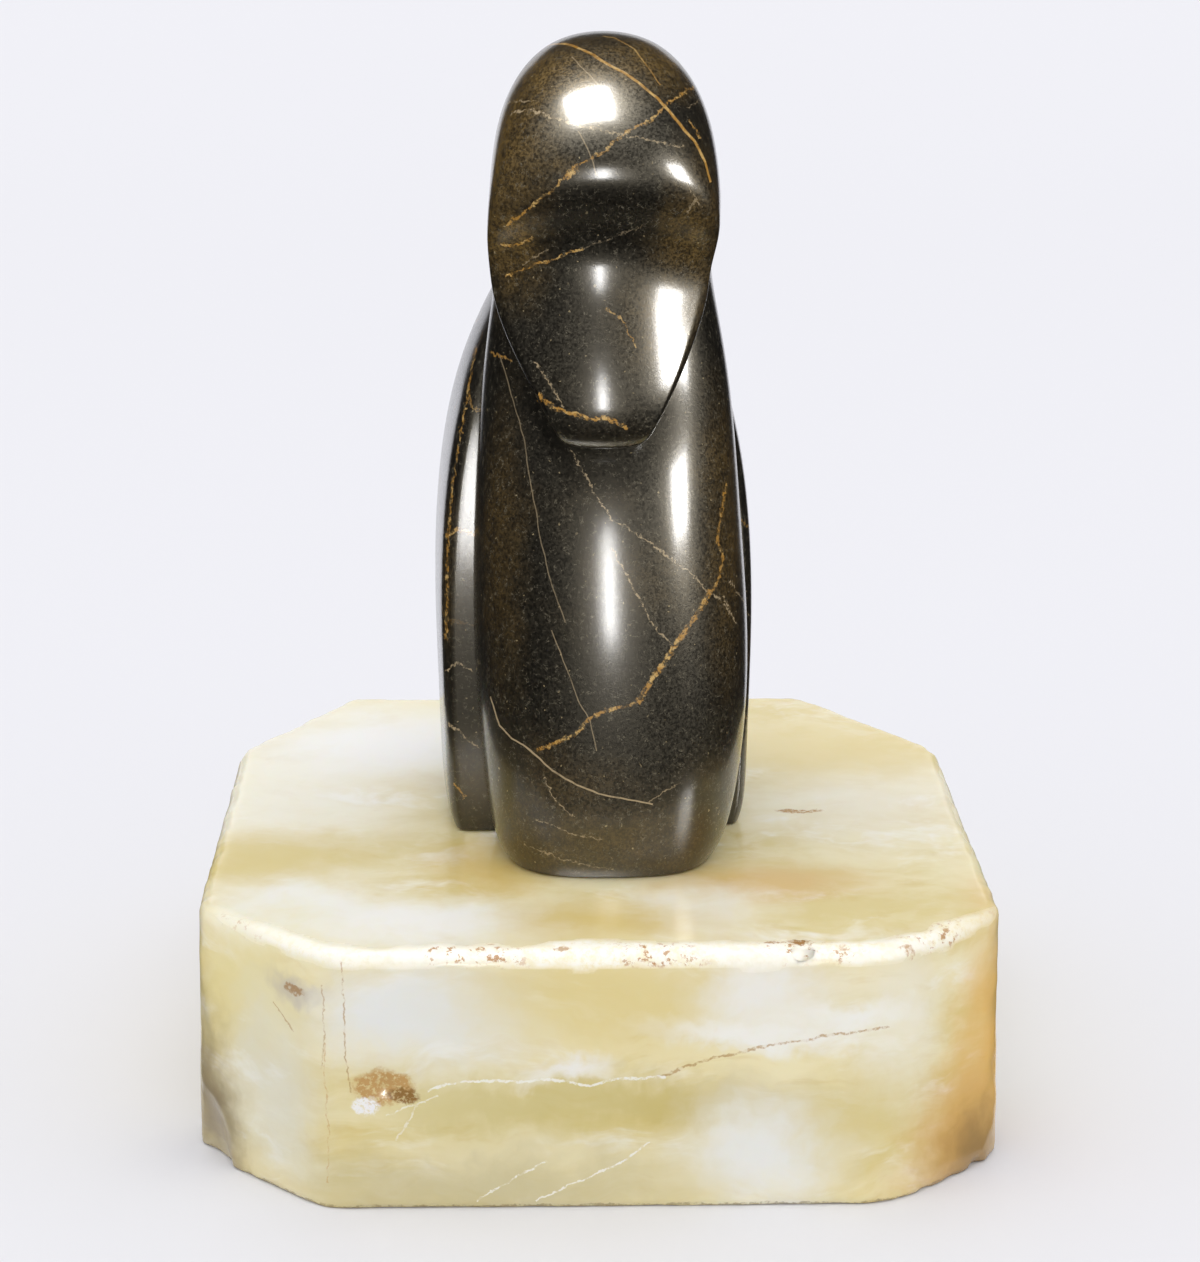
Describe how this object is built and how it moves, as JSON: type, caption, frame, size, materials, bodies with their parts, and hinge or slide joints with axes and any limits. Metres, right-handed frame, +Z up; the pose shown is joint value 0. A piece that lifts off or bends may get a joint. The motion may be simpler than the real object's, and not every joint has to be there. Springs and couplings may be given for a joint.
{
  "type": "stone swan figurine",
  "caption": "Stylised swan with bowed head and folded wings, carved in dark veined marble, standing on a pale onyx block with cut corners.",
  "frame": {"origin": "centre of the plinth's underside, where it rests on a surface", "axes": "+Z up, -Y the way the swan faces, +X to the right of someone who looks at its face"},
  "size_m": [0.1548, 0.1548, 0.2107],
  "materials": {
    "marble": "polished",
    "onyx": "honed"
  },
  "bodies": {
    "root": {"swan": "marble", "plinth": "onyx"}
  },
  "joints": []
}
